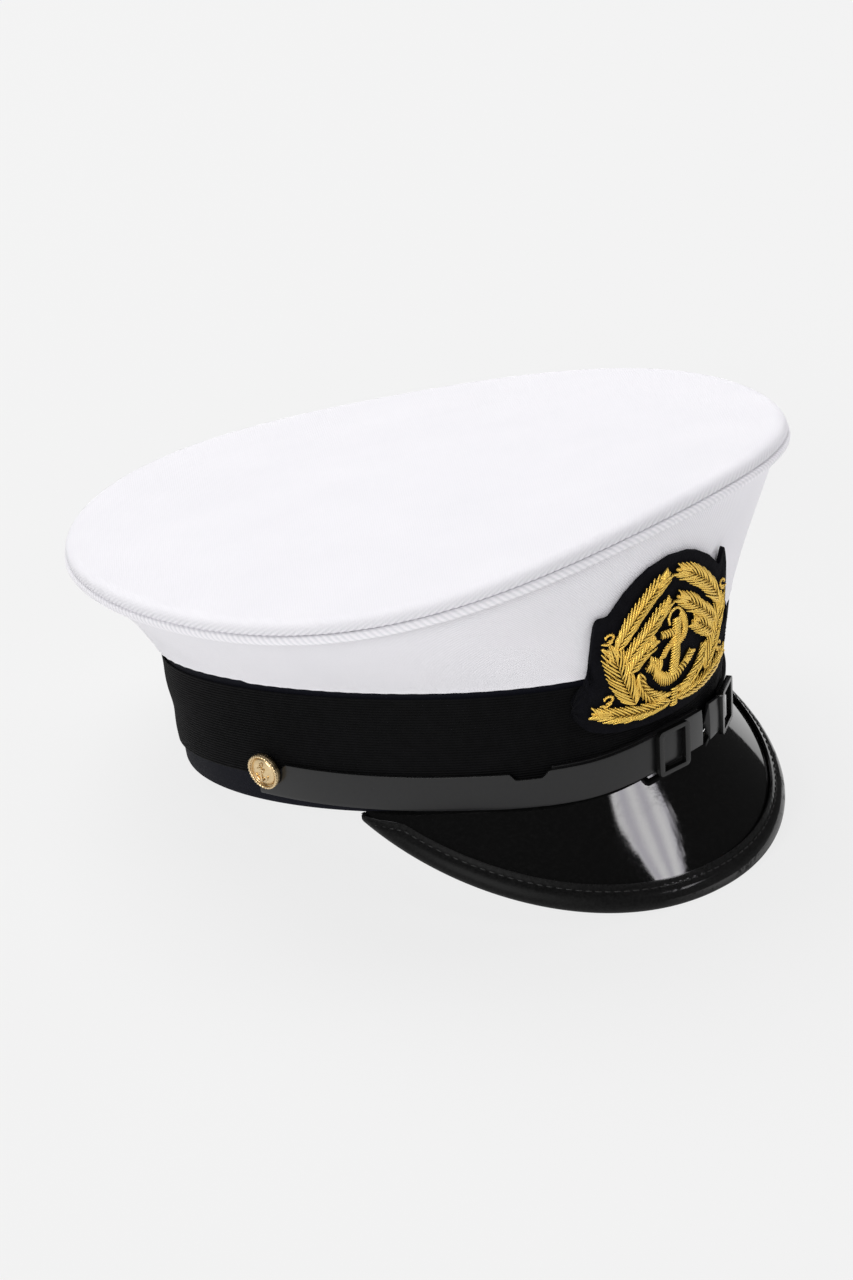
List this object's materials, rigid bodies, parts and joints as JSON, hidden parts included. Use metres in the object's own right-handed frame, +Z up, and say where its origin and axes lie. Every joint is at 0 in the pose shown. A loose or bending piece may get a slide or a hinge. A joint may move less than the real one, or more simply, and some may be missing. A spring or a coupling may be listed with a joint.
{
  "type": "captain hat",
  "caption": "White captain hat with a black ribbed band, patent peak, chin strap with slides, gilt anchor buttons and a gold bullion anchor badge.",
  "frame": {"origin": "on the surface, under the middle of the resting hat", "axes": "+Z up from the surface, -Y towards the peak, +X towards the wearer's left"},
  "size_m": [0.25, 0.2762, 0.1352],
  "materials": {
    "white_twill": "matt diagonal twill",
    "navy_cloth": "matt",
    "black_ribbon": "matt, ribbed along its length",
    "patent_leather": "high gloss",
    "strap_leather": "gloss",
    "gilt": "polished",
    "felt": "matt felt",
    "gold_bullion": "metallic thread"
  },
  "bodies": {
    "root": {"crown_top": "white_twill", "crown_piping": "white_twill", "crown_side": "white_twill", "band": "navy_cloth", "band_ribbon": "black_ribbon", "peak": "patent_leather", "peak_binding": "patent_leather", "chin_strap_right": "strap_leather", "chin_strap_left": "strap_leather", "strap_slide_right": "strap_leather", "strap_slide_left": "strap_leather", "side_button_right": "gilt", "side_button_left": "gilt", "badge_patch": "felt", "wreath_right": "gold_bullion", "wreath_left": "gold_bullion", "badge_anchor": "gold_bullion"}
  },
  "joints": []
}
